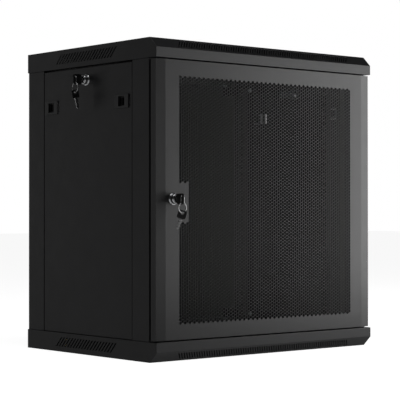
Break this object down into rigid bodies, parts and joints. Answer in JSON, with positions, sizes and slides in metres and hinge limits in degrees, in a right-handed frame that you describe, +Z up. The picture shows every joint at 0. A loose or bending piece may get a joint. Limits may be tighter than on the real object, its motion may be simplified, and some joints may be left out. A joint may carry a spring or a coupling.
{
  "type": "network server rack cabinet",
  "caption": "Wall-mount 19-inch rack cabinet with a perforated locking door, slotted covers, removable locking side panels and inner mounting rails.",
  "frame": {"origin": "middle of the bottom cover's flat underside, which the cabinet stands on", "axes": "+Z up, the door faces -Y, the wall side is +Y, +X is the hinge side seen from the front on the right"},
  "size_m": [0.6704, 0.4821, 0.635],
  "materials": {
    "powder_coat": "fine-textured semi-matt powder coat",
    "door_coat": "fine-textured semi-matt powder coat",
    "rail_coat": "smooth matt powder coat",
    "zinc": "bright zinc plate",
    "chrome": "polished chrome plate",
    "key_steel": "nickel plate",
    "brass": "machined",
    "bow_plastic": "moulded, fine grain",
    "catch_plastic": "moulded, matt",
    "slide_plastic": "moulded, matt"
  },
  "bodies": {
    "cabinet": {"top_cover": "powder_coat", "bottom_cover": "powder_coat", "front_frame": "powder_coat", "rear_frame": "powder_coat", "back_panel": "powder_coat", "fan_guard_left": "powder_coat", "fan_guard_right": "powder_coat", "top_cable_plate": "powder_coat", "bottom_cable_plate": "powder_coat", "rail_front_left": "rail_coat", "rail_front_right": "rail_coat", "rail_rear_left": "rail_coat", "rail_rear_right": "rail_coat", "depth_bar_upper_left": "rail_coat", "depth_bar_upper_right": "rail_coat", "depth_bar_lower_left": "rail_coat", "depth_bar_lower_right": "rail_coat", "rail_bolts": "zinc", "frame_screws": "zinc", "earth_studs": "brass", "hinge_pin_lower": "zinc"},
    "door": {"door_panel": "door_coat", "door_mesh": "door_coat", "door_stiffeners": "powder_coat", "hinge_bracket": "powder_coat", "hinge_spring": "zinc", "door_lock_barrel": "chrome", "door_lock_nut": "zinc"},
    "hinge_pin": {"hinge_pin_upper": "zinc"},
    "door_plug": {"door_lock_plug": "chrome", "door_lock_cam": "zinc"},
    "door_key": {"door_key": "bow_plastic"},
    "door_key_loop": {"door_key_loop": "key_steel"},
    "door_spare_key": {"door_spare_key": "bow_plastic"},
    "side_panel_left": {"side_panel_left": "powder_coat", "side_catch_bezels_left": "catch_plastic", "side_lock_barrel_left": "chrome", "side_lock_nut_left": "zinc"},
    "side_plug_left": {"side_lock_plug_left": "chrome", "side_lock_cam_left": "zinc"},
    "side_key_left": {"side_key_left": "bow_plastic"},
    "side_key_loop_left": {"side_key_loop_left": "key_steel"},
    "side_spare_key_left": {"side_spare_key_left": "bow_plastic"},
    "side_catch_front_left": {"side_catch_front_left": "slide_plastic"},
    "side_catch_rear_left": {"side_catch_rear_left": "slide_plastic"},
    "side_panel_right": {"side_panel_right": "powder_coat", "side_catch_bezels_right": "catch_plastic", "side_lock_barrel_right": "chrome", "side_lock_nut_right": "zinc"},
    "side_plug_right": {"side_lock_plug_right": "chrome", "side_lock_cam_right": "zinc"},
    "side_key_right": {"side_key_right": "bow_plastic"},
    "side_key_loop_right": {"side_key_loop_right": "key_steel"},
    "side_spare_key_right": {"side_spare_key_right": "bow_plastic"},
    "side_catch_front_right": {"side_catch_front_right": "slide_plastic"},
    "side_catch_rear_right": {"side_catch_rear_right": "slide_plastic"}
  },
  "joints": [
    {"name": "door_hinge", "type": "hinge", "parent": "cabinet", "child": "door", "pos_m": [0.29, -0.212, 0.3175], "axis": [0, 0, 1], "range_deg": [0, 180]},
    {"name": "hinge_pin_pull", "type": "slide", "parent": "door", "child": "hinge_pin", "axis": [0, 0, -1], "range_m": [0, 0.008], "stiffness_N_per_m": 600, "springref_m": -0.002, "deforming": ["hinge_spring"]},
    {"name": "door_lock_turn", "type": "hinge", "parent": "door", "child": "door_plug", "pos_m": [-0.255, -0.2217, 0.319], "axis": [0, 1, 0], "range_deg": [0, 90]},
    {"name": "door_key_pull", "type": "slide", "parent": "door_plug", "child": "door_key", "axis": [0, -1, 0], "range_m": [0, 0.024]},
    {"name": "door_key_loop_swing", "type": "hinge", "parent": "door_key", "child": "door_key_loop", "pos_m": [-0.255, -0.2504, 0.3249], "axis": [-1, 0, 0], "range_deg": [-6, 70]},
    {"name": "door_spare_key_swing", "type": "hinge", "parent": "door_key_loop", "child": "door_spare_key", "pos_m": [-0.255, -0.2504, 0.2919], "axis": [-1, 0, 0], "range_deg": [-8, 40]},
    {"name": "side_panel_removal_left", "type": "slide", "parent": "cabinet", "child": "side_panel_left", "axis": [-1, 0, 0], "range_m": [0, 0.12]},
    {"name": "side_lock_turn_left", "type": "hinge", "parent": "side_panel_left", "child": "side_plug_left", "pos_m": [-0.2975, 0.00975, 0.566], "axis": [1, 0, 0], "range_deg": [0, 90]},
    {"name": "side_key_pull_left", "type": "slide", "parent": "side_plug_left", "child": "side_key_left", "axis": [-1, 0, 0], "range_m": [0, 0.024]},
    {"name": "side_key_loop_swing_left", "type": "hinge", "parent": "side_key_left", "child": "side_key_loop_left", "pos_m": [-0.3262, 0.00975, 0.5719], "axis": [0, 1, 0], "range_deg": [-6, 70]},
    {"name": "side_spare_key_swing_left", "type": "hinge", "parent": "side_key_loop_left", "child": "side_spare_key_left", "pos_m": [-0.3262, 0.00975, 0.5389], "axis": [0, 1, 0], "range_deg": [-8, 60]},
    {"name": "catch_slide_front_left", "type": "slide", "parent": "side_panel_left", "child": "side_catch_front_left", "axis": [0, -1, 0], "range_m": [0, 0.0075]},
    {"name": "catch_slide_rear_left", "type": "slide", "parent": "side_panel_left", "child": "side_catch_rear_left", "axis": [0, 1, 0], "range_m": [0, 0.0075]},
    {"name": "side_panel_removal_right", "type": "slide", "parent": "cabinet", "child": "side_panel_right", "axis": [1, 0, 0], "range_m": [0, 0.12]},
    {"name": "side_lock_turn_right", "type": "hinge", "parent": "side_panel_right", "child": "side_plug_right", "pos_m": [0.2975, 0.00975, 0.566], "axis": [1, 0, 0], "range_deg": [0, 90]},
    {"name": "side_key_pull_right", "type": "slide", "parent": "side_plug_right", "child": "side_key_right", "axis": [1, 0, 0], "range_m": [0, 0.024]},
    {"name": "side_key_loop_swing_right", "type": "hinge", "parent": "side_key_right", "child": "side_key_loop_right", "pos_m": [0.3262, 0.00975, 0.5719], "axis": [0, -1, 0], "range_deg": [-6, 70]},
    {"name": "side_spare_key_swing_right", "type": "hinge", "parent": "side_key_loop_right", "child": "side_spare_key_right", "pos_m": [0.3262, 0.00975, 0.5389], "axis": [0, -1, 0], "range_deg": [-8, 60]},
    {"name": "catch_slide_front_right", "type": "slide", "parent": "side_panel_right", "child": "side_catch_front_right", "axis": [0, -1, 0], "range_m": [0, 0.0075]},
    {"name": "catch_slide_rear_right", "type": "slide", "parent": "side_panel_right", "child": "side_catch_rear_right", "axis": [0, 1, 0], "range_m": [0, 0.0075]}
  ]
}
